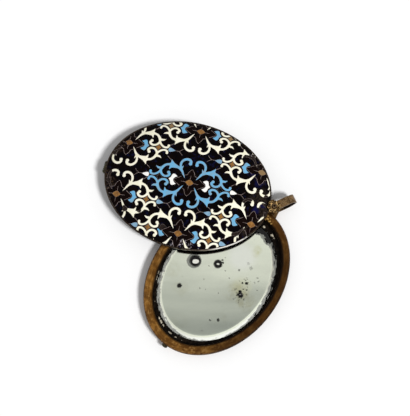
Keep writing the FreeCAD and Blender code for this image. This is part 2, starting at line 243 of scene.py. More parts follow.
# enamels: glossy glass colours with soft clouding and a few pits
def enamelFinish(name, own):
    finish, place = startFinish(name)
    look = {**enamelMarks, **own}
    cloud = clouds(place, look["cloud"]).between(*look["clouded"])
    grain = clouds(place, look["grain"], 2)
    pit = dots(place, *look["pit"])
    coats = [(cloud, "shade")]
    if "fleck" in look:
        fleck = clouds(place, look["fleckSize"], 2)
        fine = clouds(place, look["fine"])
        coats.append((fleck.between(*look["flecked"]), "fleck"))
        for kind, spots in (("grimeAndShade", "grimy"), ("navy", "navy"), ("crazed", "lost"), ("scuff", "scuffed")):
            grit = (fleck if kind == "navy" else fine).between(*look[kind + "Grit"])
            coats.append((nearTo(place, wornEnds[spots]) * grit, kind))
    if "worn" in look:
        patchy = clouds(place, look["patch"]) - 0.5

        def bareSpots(kind):
            stir, low, high = wornEnds["ragged"][kind]
            return (nearTo(place, wornEnds[kind]) + patchy * stir).between(low, high)

        bare = (bareSpots("chipped") * look["worn"]).larger(bareSpots("lost"))
        coats.append((bare.larger(bareSpots("gone")), wornEnds["colour"]))
    if "dull" in look:
        coats.append((nearTo(place, look["dullSpots"]), "dull"))
    coats.append((pit * look["pits"], "pitColour"))
    sockets = {
        "Base Color": coated(look, "body", coats),
        "Roughness": look["gloss"] + grain * look["grainRough"] + pit * look["pitRough"],
        "Specular IOR Level": look["specular"],
    }
    return endFinish(finish, sockets, look, cloud * 0.5 + grain * 0.2 - pit)


enamels = {
    "enamelGround": {
        "body": (0.001, 0.0008, 0.0014), "shade": (0.0034, 0.0013, 0.001), "fleck": (0.0035, 0.004, 0.022),
        "cloud": 2.4, "pits": 0.5, "pitColour": (0.03, 0.018, 0.012), "gloss": 0.12, "specular": 0.02,
        "navy": (0.005, 0.006, 0.044), "crazed": (0.055, 0.034, 0.02), "scuff": (0.42, 0.38, 0.42),
        "grimeAndShade": (0.021, 0.015, 0.0105),
    },
    "enamelPetal": {
        "body": (0.0034, 0.0015, 0.0013), "shade": (0.0066, 0.0026, 0.0019),
        "cloud": 1.2, "pits": 0.5, "pitColour": (0.03, 0.018, 0.012), "gloss": 0.12, "specular": 0.02,
    },
    "enamelCream": {
        "body": (0.94, 0.915, 0.76), "shade": (0.88, 0.845, 0.64), "cloud": 1.6,
        "pitColour": (0.25, 0.2, 0.13), "specular": 0.1, "worn": 1,
    },
    "enamelWhite": {
        "body": (0.95, 0.945, 0.91), "shade": (0.89, 0.885, 0.85), "cloud": 1.6,
        "pitColour": (0.25, 0.2, 0.15), "specular": 0.3,
    },
    "enamelSky": {
        "body": (0.145, 0.445, 0.72), "shade": (0.2, 0.38, 0.53), "cloud": 1.3,
        "pitColour": (0.05, 0.12, 0.2), "specular": 0.1, "worn": 0,
    },
    "enamelPale": {
        "body": (0.235, 0.41, 0.56), "shade": (0.17, 0.32, 0.46), "cloud": 1.2,
        "pitColour": (0.08, 0.14, 0.2), "specular": 0.3,
    },
    "enamelAmber": {
        "body": (0.3, 0.138, 0.024), "shade": (0.165, 0.066, 0.011), "cloud": 1,
        "pits": 0.8, "pitColour": (0.1, 0.04, 0.01), "gloss": 0.16, "specular": 0.3, "worn": 0,
        "dull": (0.235, 0.145, 0.058),
        "dullSpots": [(39.1, 11.6, 7.1, 2.6), (41.6, 28, 7.1, 2.6), (31.3, 47.9, 7.4, 2.4)],
    },
}
finishes = {name: enamelFinish(name, look) for name, look in enamels.items()}

# what metals share unless they say otherwise
metalMarks = {
    "patched": (0.38, 0.66), "streaked": (0.42, 0.7), "grain": 0.12, "pit": (0.7, 0.05, 0.16),
    "pitShare": 0.7, "hollowPatch": 0.12, "hollowShare": 0.92, "dimpleGrain": 0.2, "patchRough": 0.16,
    "grainRough": 0.1, "gloss": 0.3, "metallic": 0.92, "relief": 0.35, "depth": 0.05,
}


# metals: patina, dirt and painted shade in the hollows, streaks of wear, fine pits; painted shade in the
# bail's loop and the rivet's dimple, a painted highlight on the rim's edge
def metalFinish(name, own):
    finish, place = startFinish(name)
    look = {**metalMarks, **own}
    patch = clouds(place, look["patch"], 4, 0.6).between(*look["patched"])
    streak = clouds(place, look["streak"], 5, 0.65).between(*look["streaked"])
    grain = clouds(place, look["grain"], 2)
    pit = dots(place, *look["pit"])
    coats = [(patch, "dark"), (streak * look["wear"], "bright"), (pit * look["pitShare"], "dirtAndShade")]
    if "hollow" in look:
        # dirt and painted shade low in the hollows
        hollow = (part(place, 2) + patch * look["hollowPatch"]).between(*look["hollow"])
        coats.append((hollow * look["hollowShare"], "dirtAndShade"))
    # painted highlight along the rim's outer top edge on one side, brown where it fades
    if "rimHighlight" in look:
        rimHighlight = look["rimHighlight"]
        swung = {"Vector": place, "Center": rivet * mm, "Angle": -coverTurn}
        closed = place.node("VectorRotate", swung, {"rotation_type": "Z_AXIS"})
        edge = ovalPlace(closed, rimHighlight["half"])[1].between(*rimHighlight["edge"])
        x, y, z = (part(place, axis) for axis in range(3))
        side = (x + patch * rimHighlight["stirX"]).between(*rimHighlight["x"])
        side = side * (y + patch * rimHighlight["stirY"]).between(*rimHighlight["y"])
        worn = tint(x.between(*rimHighlight["dull"]), rimHighlight["brown"], look["bright"])
        coats.append((edge * (side * z.between(*rimHighlight["z"])), worn))
    # painted shade on the inner faces of the bail's loop
    if "loop" in look:
        loop = look["loop"]
        fromRivet = vectorMaths("SUBTRACT", place, rivet * mm)
        along = alongSide(fromRivet, direction(loop["turn"]))
        reach = hypotenuse((along - loop["bend"]).larger(0), part(place, 2) - loop["level"])
        coats.append((reach.between(*loop["inside"]) * along.between(*loop["shaded"]), "dirtAndShade"))
    # dirt and painted shade in the dimple at the rivet's tip
    if "dimple" in look:
        away = awayFrom(vectorMaths("MULTIPLY", place, (1, 1, 0)), rivet)
        coats.append(((away + grain * look["dimpleGrain"]).between(*look["dimple"]), "dirtAndShade"))
    sockets = {
        "Base Color": coated(look, "body", coats),
        "Metallic": look["metallic"],
        "Roughness": look["gloss"] + patch * look["patchRough"] + grain * look["grainRough"],
    }
    return endFinish(finish, sockets, look, grain * 0.3 + streak * 0.4 - pit)


metals = {
    "fittingBrass": {
        "body": (0.2, 0.115, 0.042), "dark": (0.075, 0.038, 0.014), "bright": (0.4, 0.26, 0.12),
        "dirtAndShade": (0.03, 0.016, 0.008), "patch": 1.8, "streak": 0.6, "wear": 0.55, "gloss": 0.32,
    },
    "bailBrass": {
        "body": (0.165, 0.095, 0.039), "dark": (0.058, 0.03, 0.011), "bright": (0.4, 0.28, 0.15),
        "dirtAndShade": (0.012, 0.007, 0.004), "patch": 1.6, "streak": 0.5, "wear": 0.55,
        "gloss": 0.34, "metallic": 0.9,
        # the loop's inner faces are darkened as painted shade
        "loop": {"turn": -25, "bend": 5.45, "level": 3.8, "inside": (2.9, 2.68), "shaded": (2.6, 4.6)},
    },
    "rosetteBrass": {
        "body": (0.24, 0.125, 0.036), "dark": (0.045, 0.021, 0.006), "bright": (1, 0.7, 0.32),
        "dirtAndShade": (0.006, 0.003, 0.002), "patch": 1.2, "streak": 0.75, "wear": 0.95,
        "gloss": 0.2, "metallic": 0.95, "hollow": (7.84, 7.56),
    },
    "rivetBronze": {
        "body": (0.15, 0.088, 0.04), "dark": (0.05, 0.027, 0.012), "bright": (0.38, 0.26, 0.15),
        "dirtAndShade": (0.006, 0.004, 0.003), "patch": 0.9, "streak": 0.4, "wear": 0.5, "dimple": (0.62, 0.42),
    },
    "tabBronze": {
        "body": (0.04, 0.037, 0.022), "dark": (0.01, 0.009, 0.006), "bright": (0.13, 0.115, 0.07),
        "dirtAndShade": (0.008, 0.006, 0.004), "patch": 0.8, "streak": 0.35, "wear": 0.5,
        "gloss": 0.38, "metallic": 0.9,
    },
    "giltBrass": {
        "body": (0.48, 0.28, 0.07), "dark": (0.2, 0.1, 0.02), "bright": (0.74, 0.5, 0.19),
        "dirtAndShade": (0.03, 0.016, 0.006), "patch": 0.9, "streak": 0.4, "wear": 0.6,
    },
    # rim: very dark bronze, partly as painted shade on its side wall, with a painted highlight along the
    # outer edge
    "rimBronze": {
        "body": (0.035, 0.02, 0.01), "dark": (0.012, 0.007, 0.004), "bright": (0.97, 0.94, 0.88),
        "dirtAndShade": (0.006, 0.004, 0.003), "patch": 2.6, "streak": 0.7, "wear": 0.05,
        "rimHighlight": {
            "half": (30.6, 23.6), "edge": (0.984, 0.987), "x": (20, 16), "y": (18, 11), "z": (6.12, 6.2),
            "stirX": 3, "stirY": 4, "dull": (4.5, 7.5), "brown": (0.19, 0.155, 0.12),
        },
    },
    # near black partly as painted shade, so the cover's underside and its reflection in the mirror stay dark
    "liningShadedBlack": {
        "body": (0.016, 0.01, 0.007), "dark": (0.007, 0.005, 0.004), "bright": (0.09, 0.05, 0.026),
        "dirtAndShade": (0.004, 0.003, 0.002), "patch": 5, "streak": 1.4, "wear": 0.3,
        "gloss": 0.42, "metallic": 0.9,
    },
    "shellCopper": {
        "body": (0.3, 0.14, 0.065), "dark": (0.15, 0.065, 0.03), "bright": (0.42, 0.22, 0.11),
        "dirtAndShade": (0.04, 0.02, 0.012), "patch": 5, "streak": 1.4, "wear": 0.5, "gloss": 0.36,
    },
    "wireCopper": {
        "body": (0.31, 0.24, 0.22), "dark": (0.15, 0.108, 0.1), "bright": (0.54, 0.46, 0.43),
        "dirtAndShade": (0.05, 0.03, 0.02), "patch": 1.2, "streak": 0.4, "wear": 0.6, "metallic": 0.9,
    },
}
finishes.update({name: metalFinish(name, look) for name, look in metals.items()})

# bezel ring: brown bronze, streaked along the ring; grime and painted shade on the slope towards the glass
# and at its outer foot, painted shade down one side and a little painted light on the left
bezel = {
    "body": (0.265, 0.125, 0.027), "dark": (0.098, 0.04, 0.009), "bright": (0.43, 0.245, 0.078),
    "grimeAndShade": (0.0035, 0.0022, 0.0016), "dim": (0.047, 0.0195, 0.005), "lit": (0.4, 0.175, 0.03),
    "crest": (28.35, 21.35), "ringScale": (55, 6), "gloss": 0.4, "metallic": 0.96, "specular": 0.08,
    "patch": 4, "patched": (0.36, 0.64), "grain": 0.14, "rough": 1.1, "pit": (0.8, 0.06, 0.18),
    "pitShare": 0.7, "rightReach": (4, 20), "leftReach": (-4, -20, 0.1),
    "clearSide": (-0.2255, 0.974, 0), "clearReach": (8, 22),
    "dimSide": (0.158, -0.987, 0), "dimReach": (2, 20, 0.85),
    "inner": (0.986, 0.955, 0.94), "innerStir": 0.03, "rightShift": 0.012, "clearShift": 0.018,
    "outer": (1.05, 1.075, 0.6), "outerStir": 0.02, "grimeAndShadeDull": 0.75, "grimeAndShadeRough": 0.2,
    "patchRough": 0.14, "grainRough": 0.08, "relief": 0.4, "depth": 0.06,
    "streaked": (0.5, 0.72, 0.75), "furrowed": (0.46, 0.3, 0.8), "mottled": (0.5, 0.64, 0.7),
    "flecked": (0.45, 0.34, 0.5), "sooty": [(28.6, -3.4, 4.5, 4), (27, -6.5, 4.5, 3)], "sootShare": 0.6,
}


def bezelFinish(name, look):
    finish, place = startFinish(name)
    square, across = ovalPlace(place, look["crest"])
    turn = across.maths("ARCTAN2", axisOf(square, 1), axisOf(square, 0))
    acrossScale, turnScale = look["ringScale"]
    streak = noise(joined({0: across * acrossScale, 1: turn * turnScale}), 1, 5, 0.62)
    patch = clouds(place, look["patch"], 4, 0.6).between(*look["patched"])
    grain = clouds(place, look["grain"], 2)
    pit = dots(place, *look["pit"])
    rough = clouds(place, look["rough"], 4)
    sideways = alongSide(place, photoRight)
    right = sideways.between(*look["rightReach"])
    clear = alongSide(place, look["clearSide"]).between(*look["clearReach"])
    # grime and painted shade on the inner slope, reaching further on the right, and at the outer foot of the
    # ring
    inner = across + rough * look["innerStir"] - right * look["rightShift"] + clear * look["clearShift"]
    outer = across + rough * look["outerStir"]
    grimeAndShade = inner.between(*look["inner"]).larger(outer.between(*look["outer"]))
    colour = coated(look, "body", [
        (patch, "dark"),
        (streak.between(*look["streaked"]), "bright"),
        (streak.between(*look["furrowed"]), "dark"),
        (rough.between(*look["mottled"]), "dark"),
        (rough.between(*look["flecked"]), "bright"),
        (nearTo(place, look["sooty"]) * look["sootShare"], "dark"),
        # painted shade down one side of the ring and a little painted light on its left
        (alongSide(place, look["dimSide"]).between(*look["dimReach"]), "dim"),
        (sideways.between(*look["leftReach"]), "lit"),
        (grimeAndShade.larger(pit * look["pitShare"]), "grimeAndShade"),
    ])
    matt = look["gloss"] + patch * look["patchRough"] + grain * look["grainRough"]
    sockets = {
        "Base Color": colour,
        "Metallic": look["metallic"] - grimeAndShade * look["grimeAndShadeDull"],
        "Roughness": matt + grimeAndShade * look["grimeAndShadeRough"],
        "Specular IOR Level": look["specular"],
    }
    return endFinish(finish, sockets, look, streak * 0.7 + grain * 0.2 - pit)


finishes["bezelBronze"] = bezelFinish("bezelBronze", bezel)

# dull finishes: cement round the glass and the card behind it
dullMarks = {
    "lumped": (0.35, 0.68), "grain": 0.15, "gloss": 0.75, "grainRough": 0.2, "specular": 0.1,
    "relief": 0.6, "depth": 0.15,
}


def dullFinish(name, own):
    finish, place = startFinish(name)
    look = {**dullMarks, **own}
    lump = clouds(place, look["lump"], 4).between(*look["lumped"])
    grain = clouds(place, look["grain"])
    sockets = {
        "Base Color": tint(lump, look["body"], look["shade"]),
        "Roughness": look["gloss"] + grain * look["grainRough"],
        "Specular IOR Level": look["specular"],
    }
    return endFinish(finish, sockets, look, lump + grain * 0.6)


dulls = {
    "cementDark": {"body": (0.002, 0.0015, 0.0012), "shade": (0.011, 0.0075, 0.005), "lump": 1.3},
    "chipCream": {"body": (0.62, 0.57, 0.45), "shade": (0.3, 0.26, 0.19), "lump": 0.5},
    "cardGrey": {"body": (0.28, 0.25, 0.2), "shade": (0.18, 0.15, 0.11), "lump": 2},
}
finishes.update({name: dullFinish(name, look) for name, look in dulls.items()})

# silvering: pale grey green, with foxing where it has perished; painted reflection shades the field towards
# the bottom, the left and in bands, lightens one patch and shades the bevel on one side
silver = {
    "light": (0.98, 1, 0.845), "shade": (0.335, 0.36, 0.314), "fox": (0.006, 0.005, 0.004),
    "bare": (1, 0.97, 0.9), "edge": (0.22, 0.22, 0.205), "smudge": (0.76, 0.75, 0.5),
    "tarnish": (0.82, 0.79, 0.7), "paintedReflection": (1, 1, 0.94),
    "bevel": (1, 0.995, 0.94), "bevelInside": (0.86, 0.88, 0.74), "bevelDim": (0.56, 0.545, 0.46),
    "specular": 0.1, "gloss": 0.05, "foxRough": 0.4, "bareRough": 0.2, "level": 1.63,
    "oval": (24.6, 19.15), "stirScale": 900, "wander": 0.9, "calm": 0.4,
    # foxing with a bare hole: hole's x, y and radius, then the dark disc's, then how bare the hole is
    "rings": [
        (-0.49, 9.53, 0.98, -0.4, 9.75, 2.3, 1), (3.89, 2.76, 0.42, 3.89, 2.76, 1.75, 0.6),
        (0.45, -10.3, 0.26, 0.45, -10.3, 0.8, 0.5),
    ],
    "broad": 1.25, "holeSoft": (0.85, 1.1), "ringSoft": (0.72, 1.05),
    "halo": (-0.65, 10.06, 2.75, 0.85), "haloSoft": (0.88, 1.04),
    # single spots: x, y, radius and strength
    "spots": [
        (-10.81, 8.4, 0.95, 1), (0.39, -10.44, 1.1, 1), (1.2, -9.6, 0.7, 1), (-0.3, -9.5, 0.45, 0.9),
        (4.94, -9.51, 0.65, 1), (4.17, -8.3, 0.45, 0.8), (-11.51, -9.89, 0.6, 0.9), (-13.44, -7.83, 0.4, 0.6),
        (7, -4.4, 0.4, 0.6), (10.15, -7.36, 0.8, 0.25), (10.9, -5.5, 0.6, 0.2), (5.4, 1.6, 0.45, 0.9),
        (6, 2.4, 0.35, 0.8), (3.2, -11, 0.35, 0.7), (8.9, -11.3, 0.4, 0.35), (8.2, -12.4, 0.4, 0.35),
        (7, -11.6, 0.35, 0.3), (-6.9, 2.1, 0.35, 0.3), (-5.9, 0.4, 0.3, 0.3), (-4, -4, 0.3, 0.4),
        (2.5, -3.6, 0.3, 0.4), (-3.6, 3.2, 0.35, 0.25),
    ],
    "spotSoft": (0.6, 1.1), "dust": (0.95, 0.22, 0.34, 0.5), "speck": (3.4, 0.045, 0.085, 0.5),
    # broad soft marks: x, y and radius: stains, and one lighter patch of painted reflection
    "smudges": [(16.9, -5, 2.2), (15.3, -5.2, 2), (3, -9, 4.5)],
    "tarnished": [(-0.2, -8.8, 5.4), (-0.2, -13.6, 4.4)],
    "yellowed": [(-10.9, -9.9, 3.6), (-11.6, 7.4, 3.8), (-8, 14.3, 4.2), (-21, 0.4, 4.4)],
    "paintedReflectionSpots": [(11.4, -2.2, 6.6)], "stained": [(21.5, -3, 5.5), (22.5, 1, 4)],
    "dotted": [(0.4, -10.4, 4.2), (4.5, -8.6, 3)],
    "smudgeShare": 0.8, "smudgeGrain": 1.2, "yellowShare": 0.35, "paintedReflectionShare": 0.7,
    "tarnishGrain": 3, "tarnishLevels": (0.3, 0.7),
    # shading of the field, by reach along the photograph's up and right
    # the field's shading is painted reflection
    "lower": (12, -24), "lowerShade": 0.8, "bandScale": (0.14, 0.03), "clouded": (0.3, 0.75),
    "cloudShade": 0.2, "leftReach": (-4, -16), "leftFade": (-14, -4, 0.06),
    "duskBand": (-10.5, -6.5, -2.6, 0.06), "paleBand": (-2.2, 0.8, 3.6, 0.07),
    # the bevel and the ragged edge, by the distance from the rim; the bevel has painted shade on one side and
    # on the left
    "bevelStep": (1.1, 1.7), "bevelStir": 0.8, "bevelEnd": (2.2, 2), "dimSide": (1.022, -0.4515, 0),
    "dimReach": (9, 21), "leftDim": 0.45, "ringScale": (11, 11, 0), "insetScale": 1.6,
    "rightWorn": (4, 18, 0.7), "leftWorn": (-6, -17, 0.55), "lowerKept": 0.65, "stainWorn": 1.2,
    "blotchWorn": 2.6, "tired": (1.25, 0.95, 0.85), "perished": (0.25, -0.15), "perishStir": 2,
}


def bandOf(height, low, middle, high, most):
    # most at the middle of a band, 0 at its two sides
    return height.between(low, middle) * height.between(high, middle, most)


def silverFinish(name, look):
    finish, place = startFinish(name)
    stir = vectorMaths("SUBTRACT", noise(place, look["stirScale"], 3, out=1), (0.5, 0.5, 0.5))

    def stirred(most):
        return vectorMaths("ADD", place, vectorMaths("MULTIPLY", stir, (most * mm, most * mm, 0)))

    def disc(away, size, soft):
        return away.between(size * soft[1], size * soft[0])

    def spot(path, x, y, size, soft):
        return disc(awayFrom(path, (x, y, look["level"])), size, soft)

    def near(kind):
        return nearTo(place, [(x, y, look["level"], size) for x, y, size in look[kind]])

    wander, calm = stirred(look["wander"]), stirred(look["calm"])
    *where, strength = look["halo"]
    halo = spot(calm, *where, look["haloSoft"]) * strength
    fox = bare = 0
    for x, y, inner, outX, outY, outer, strength in look["rings"]:
        fromHole = vectorMaths("SUBTRACT", calm, Vector((x, y, look["level"])) * mm)
        wide = alongSide(fromHole, photoRight) * (1 / look["broad"])
        tall = alongSide(fromHole, photoUp) * look["broad"]
        hole = disc(hypotenuse(wide, tall), inner, look["holeSoft"])
        bare = bare + hole * strength
        fox = fox + (1 - hole) * spot(calm, outX, outY, outer, look["ringSoft"])
    for *where, strength in look["spots"]:
        fox = fox + spot(wander, *where, look["spotSoft"]) * strength
    fox = fox + dots(wander, *look["dust"]) * near("dotted")
    speck = dots(wander, *look["speck"])
    up, right = alongSide(place, photoUp), alongSide(place, photoRight)
    lower = up.between(*look["lower"])
    left = right.between(*look["leftReach"])
    bandUp, bandRight = look["bandScale"]
    cloud = noise(joined({0: up * bandUp, 1: right * bandRight}), 1, 3).between(*look["clouded"])
    square, edge = ovalPlace(place, look["oval"])
    span = ovalPlace(place, (1, 1))[1]
    inset = edge.maths("DIVIDE", span * (1 - edge), edge)
    around = vectorMaths("MULTIPLY", vectorMaths("NORMALIZE", square), look["ringScale"])
    ringPlace = vectorMaths("ADD", around, joined({2: inset * look["insetScale"]}))
    blotch = noise(ringPlace, 1, 4, 0.6) - 0.5
    ragged = inset + blotch * look["blotchWorn"] + lower * look["lowerKept"]
    ragged = ragged - right.between(*look["rightWorn"]) - right.between(*look["leftWorn"])
    ragged = ragged - near("stained") * look["stainWorn"]
    tired = ragged.between(*look["tired"])
    fox = fox.larger((ragged + blotch * look["perishStir"]).between(*look["perished"]))
    fox = fox.maths("MINIMUM", fox, 1)
    # painted shade: darker towards the left and in a dusky band, lighter in a pale band
    paintedShadeBands = left * up.between(*look["leftFade"]) + bandOf(up, *look["duskBand"])
    paintedShadeBands = paintedShadeBands - bandOf(up, *look["paleBand"])
    smudge = near("smudges") * clouds(place, look["smudgeGrain"], 4, 0.65) * look["smudgeShare"]
    tarnish = near("tarnished") + near("yellowed") * look["yellowShare"]
    tarnish = tarnish * clouds(place, look["tarnishGrain"], 4).between(*look["tarnishLevels"])
    bevelInside = (inset + blotch * look["bevelStir"]).between(*look["bevelStep"])
    # painted shade on the bevel, on one side and on the left
    dimmed = alongSide(place, look["dimSide"]).between(*look["dimReach"]).larger(left * look["leftDim"])
    bevel = coated(look, "bevel", [(bevelInside, "bevelInside"), (dimmed, "bevelDim")])
    # painted reflection: the field darker towards the bottom and in soft bands
    shade = lower * look["lowerShade"] + cloud * look["cloudShade"] + paintedShadeBands
    field = coated(look, "light", [(shade, "shade"), (smudge, "smudge")])
    # a lighter patch of painted reflection goes first, then the bevel, the ragged edge and the foxing
    colour = coated(look, tint(tarnish, field, look["tarnish"], "MULTIPLY"), [
        (near("paintedReflectionSpots") * look["paintedReflectionShare"], "paintedReflection"), (inset.between(*look["bevelEnd"]), bevel),
        (tired, "edge"), (speck, "fox"), (halo, "edge"), (fox, "fox"), (bare, "bare"),
    ])
    sockets = {
        "Base Color": colour,
        "Metallic": 1 - fox,
        "Roughness": look["gloss"] + fox * fox * look["foxRough"] + bare * look["bareRough"],
        "Specular IOR Level": look["specular"],
    }
    return endFinish(finish, sockets)


finishes["mirrorSilver"] = silverFinish("mirrorSilver", silver)

# glass: clear, faintly green, with hairline scratches
glass = {
    "body": (0.96, 0.985, 0.965), "gloss": 0.01, "smear": 4, "smeared": (0.5, 0.8, 0.03), "ior": 1.52,
    "specular": (0.3, 0.3, 0.3), "scratch": (3, 0, 0.02), "relief": 0.05, "depth": 0.01,
}


def glassFinish(name, look):
    finish, place = startFinish(name)
    sockets = {
        "Base Color": look["body"],
        "Roughness": look["gloss"] + clouds(place, look["smear"]).between(*look["smeared"]),
        "IOR": look["ior"],
        "Specular Tint": look["specular"],
        "Transmission Weight": 1,
    }
    return endFinish(finish, sockets, look, dots(place, *look["scratch"]))


finishes["mirrorGlass"] = glassFinish("mirrorGlass", glass)
print("finishes made,", len(finishes))

nodeFinish = {
    "mirror_frame": "bezelBronze", "cover_rim": "rimBronze", "back_plate": "shellCopper",
    "cover_shell": "shellCopper", "cover_lining": "liningShadedBlack", "cover_enamel": "enamelGround",
    "back_enamel": "enamelGround", "mirror_glass": "mirrorGlass", "mirror_silvering": "mirrorSilver",
    "mirror_backing": "cardGrey", "bedding_cement": "cementDark", "rosette": "rosetteBrass",
    "pivot_rivet": "rivetBronze", "bail": "bailBrass", "cover_thumb_tab": "tabBronze",
    "frame_thumb_nib": "tabBronze",
}
for name, node in nodes.items():
    node.data.materials.clear()
    node.data.materials.append(finishes[nodeFinish.get(name, "fittingBrass")])

# one quarter of the repeat, in millimetres from the flower's centre: x, y, half width
scroll = {
    "strokes": {
        "stem": [
            (2.05, 1.45, 0.03), (2.5, 2.1, 0.15), (2.95, 2.8, 0.25), (3.5, 3.65, 0.36), (4.2, 4.35, 0.46),
            (5, 4.75, 0.44),
        ],
        "curl": [
            (4.1, 4.5, 0.3), (4.38, 5.3, 0.33), (4.5, 6.2, 0.36), (4.32, 7.1, 0.37), (3.75, 7.88, 0.38),
            (2.9, 8.36, 0.4), (1.95, 8.38, 0.42), (1.25, 7.95, 0.42), (1.02, 7.3, 0.42),
        ],
        "spur": [(3.9, 4.6, 0.3), (3.72, 5.15, 0.22), (3.45, 5.75, 0.04)],
        "leaf": [
            (4.4, 4.55, 0.35), (5.4, 4.82, 0.46), (6.3, 5, 0.66), (7.1, 5.15, 0.9), (7.7, 5.25, 0.92),
            (8.4, 5.25, 0.45),
        ],
        "barbOut": [(7.15, 5.5, 0.62), (7.65, 6.2, 0.42), (7.92, 6.75, 0.2), (8.08, 7.2, 0.02)],
        "barbIn": [(7.6, 4.8, 0.55), (7.92, 4.2, 0.33), (8.1, 3.75, 0.16), (8.2, 3.35, 0.02)],
        "runner": [
            (7.9, 5.2, 0.45), (8.9, 5.12, 0.36), (9.65, 4.8, 0.36), (10.3, 4.2, 0.4), (10.8, 3.45, 0.46),
            (11.05, 2.7, 0.42), (11.1, 2.1, 0.34),
        ],
        "thorn": [(10.8, 3.3, 0.4), (11.6, 3.22, 0.38), (12.3, 3.32, 0.3), (13.05, 3.8, 0.03)],
        "inCurl": [
            (11.08, 2.4, 0.38), (10.8, 1.7, 0.35), (10.25, 1.05, 0.33), (9.5, 0.66, 0.33), (8.75, 0.63, 0.34),
            (8.1, 0.92, 0.37), (7.72, 1.45, 0.4), (7.78, 2, 0.4),
        ],
        "outCurl": [
            (11.1, 2.3, 0.36), (11.55, 1.65, 0.33), (12.2, 1.02, 0.31), (12.95, 0.62, 0.31),
            (13.7, 0.52, 0.32), (14.35, 0.75, 0.34), (14.65, 1.2, 0.34),
        ],
    },
    "balls": [(1.2, 6.98, 0.6), (8.12, 2.22, 0.54), (14.58, 1.45, 0.46)],
    "lines": [
        [(1.35, 2.75, 0.06), (1.05, 3.6, 0.06), (0.55, 4.4, 0.06), (0.02, 4.95, 0.06)],
        [(1.35, 2.75, 0.05), (1.9, 2.55, 0.05), (2.5, 2.3, 0.05)],
        [(3.3, 1.75, 0.05), (4.2, 1.15, 0.05), (5.1, 0.62, 0.05), (5.9, 0.02, 0.05)],
        [(18.65, 0.03, 0.055), (19.4, 0.5, 0.055), (20.1, 1.25, 0.055)],
        [(8, 6.9, 0.055), (8.9, 7.4, 0.055), (9.85, 8.2, 0.055)],
    ],
    "linesUp": [[(0, 1.2, 0.085), (0, 2.7, 0.05)]],
    "linesSide": [[(1.4, 0, 0.085), (3.2, 0, 0.05)], [(17.3, 0, 0.055), (18.75, 0, 0.055)]],
}

# filled shapes of the repeat as half outlines, from the mirror line on: x, y, then 1 at a corner
fillHalves = {
    "wing": [
        (6, 0, 1), (5.6, 0.75, 0), (4.68, 1.4, 1), (5.5, 1.92, 0), (6.22, 2.06, 0), (6.68, 1.52, 0),
        (6.92, 0.75, 0), (7.6, 0, 1),
    ],
    "lozenge": [(12.2, 0, 1), (11.45, -0.55, 0), (11.1, -1.42, 1), (10.75, -0.55, 0), (10.02, 0, 1)],
    "drop": [(14.85, 0, 0), (15.15, 0.68, 0), (15.75, 0.72, 0), (17.4, 0, 1)],
    "eye": [(1.5, 0, 1), (0.8, 0.64, 0), (0, 1.05, 0), (-0.8, 0.64, 0), (-1.5, 0, 1)],
    "petalUp": [(0, 4.9, 1), (0.6, 4.3, 0), (1.3, 2.8, 1), (0.75, 1.1, 0)],
    "petalSide": [(5.9, 0, 1), (4.3, 1, 0), (3.4, 1.5, 1), (1.2, 0.6, 0)],
}


def wholeOutline(half):
    # the mirror line runs through the first point, along x or y, and its points aren't doubled
    if half[0][1] == 0:
        return half + [(x, -y, corner) for x, y, corner in reversed(half) if y]
    return half + [(-x, y, corner) for x, y, corner in reversed(half) if x]


fills = {name: wholeOutline(half) for name, half in fillHalves.items()}

# each kind of mark: its half thickness and its lift off the face; then the edges and how finely all is cut
crown = {
    "stroke": (0.05, 0.004), "strokeEdge": (0.015, 0), "line": (0.1, 0.004), "fill": (0.012, 0.006),
    "fillEdge": (0.012, 0), "petal": (0.012, -0.004), "edge": 0.045, "broad": 1.04,
    "strokeTurns": 4, "thinTurns": 3, "fillTurns": 5, "ball": (14, 6), "edgeBall": (12, 4),
    "gridStep": 0.7, "planes": 96, "inside": 0.999, "weld": 0.0005, "seam": 0.00001,
}


def workOn(shape):
    work = bmesh.new()
    work.from_mesh(shape)
    return work


def workDone(work, shape):
    work.to_mesh(shape)
    work.free()
    return shape


def weld(work, apart=crown["weld"]):
    bmesh.ops.remove_doubles(work, verts=work.verts, dist=apart)


def drawnMesh(name, curve):
    pencil = bpy.data.objects.new(name, curve)
    shape = bpy.data.meshes.new_from_object(pencil)
    bpy.data.objects.remove(pencil)
    bpy.data.curves.remove(curve)
    work = workOn(shape)
    weld(work)  # the ends of a drawn tube come loose
    return workDone(work, shape)


def strokeMesh(name, strokes, grow, turns):
    curve = bpy.data.curves.new(name, "CURVE")
    curve.dimensions = "3D"
    curve.twist_mode = "Z_UP"
    curve.bevel_depth = 1
    curve.bevel_resolution = 1
    curve.resolution_u = turns
    curve.use_fill_caps = True
    for points in strokes:
        spline = curve.splines.new("BEZIER")
        spline.bezier_points.add(len(points) - 1)
        for knot, (x, y, half) in zip(spline.bezier_points, points):
            knot.co = (x, y, 0)
            knot.radius = half * crown["broad"] + grow
            knot.handle_left_type = knot.handle_right_type = "AUTO"
    return drawnMesh(name, curve)


def cutBy(work, point, side, **options):
    everything = work.verts[:] + work.edges[:] + work.faces[:]
    bmesh.ops.bisect_plane(work, geom=everything, plane_co=point, plane_no=side, **options)


def cutGrid(shape, step):
    work = workOn(shape)
    for axis in (0, 1):
        low = min(v.co[axis] for v in work.verts)
        high = max(v.co[axis] for v in work.verts)
        side = Vector((1 - axis, axis, 0))
        for k in range(1, int((high - low) / step) + 1):
            cutBy(work, side * (low + k * step), side)
    weld(work)
    return workDone(work, shape)


